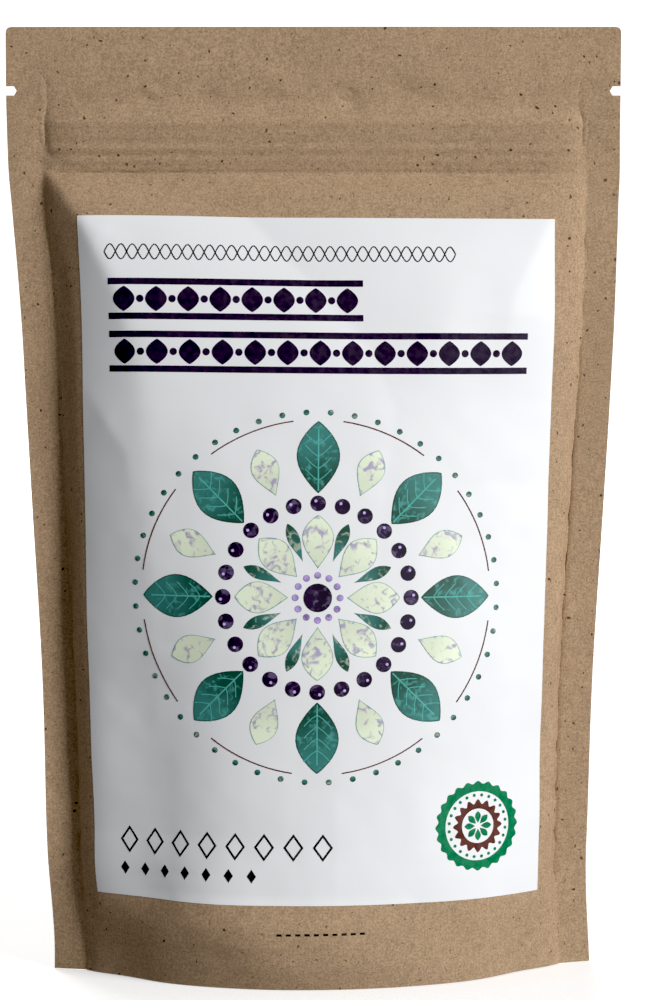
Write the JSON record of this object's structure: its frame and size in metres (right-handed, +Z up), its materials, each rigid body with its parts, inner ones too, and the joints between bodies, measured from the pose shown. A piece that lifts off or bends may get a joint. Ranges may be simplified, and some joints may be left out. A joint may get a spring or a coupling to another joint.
{
  "type": "stand-up pouch",
  "caption": "Filled kraft paper stand-up pouch with a press-to-close zip, tear notches, an opened bottom gusset and a large front label, for dried fruit or loose food.",
  "frame": {"origin": "on the standing surface, at the middle of the opened base", "axes": "+Z up; the labelled front faces -Y; +X to the right as the front is looked at"},
  "size_m": [0.184, 0.0644, 0.286],
  "materials": {
    "kraft": "matte unbleached kraft paper laminate",
    "lining": "matte kraft paper laminate of the gusset",
    "zip": "clear satin plastic profile",
    "label": "white semi-gloss label paper with printed ornaments",
    "berries": "dry wrinkled near-black berries"
  },
  "bodies": {
    "root": {"front_panel": "kraft", "back_panel": "kraft", "bottom_web": "lining", "zip_rib_strip": "zip", "zip_groove_strip": "zip", "front_label": "label", "berry_fill": "berries"}
  },
  "joints": []
}
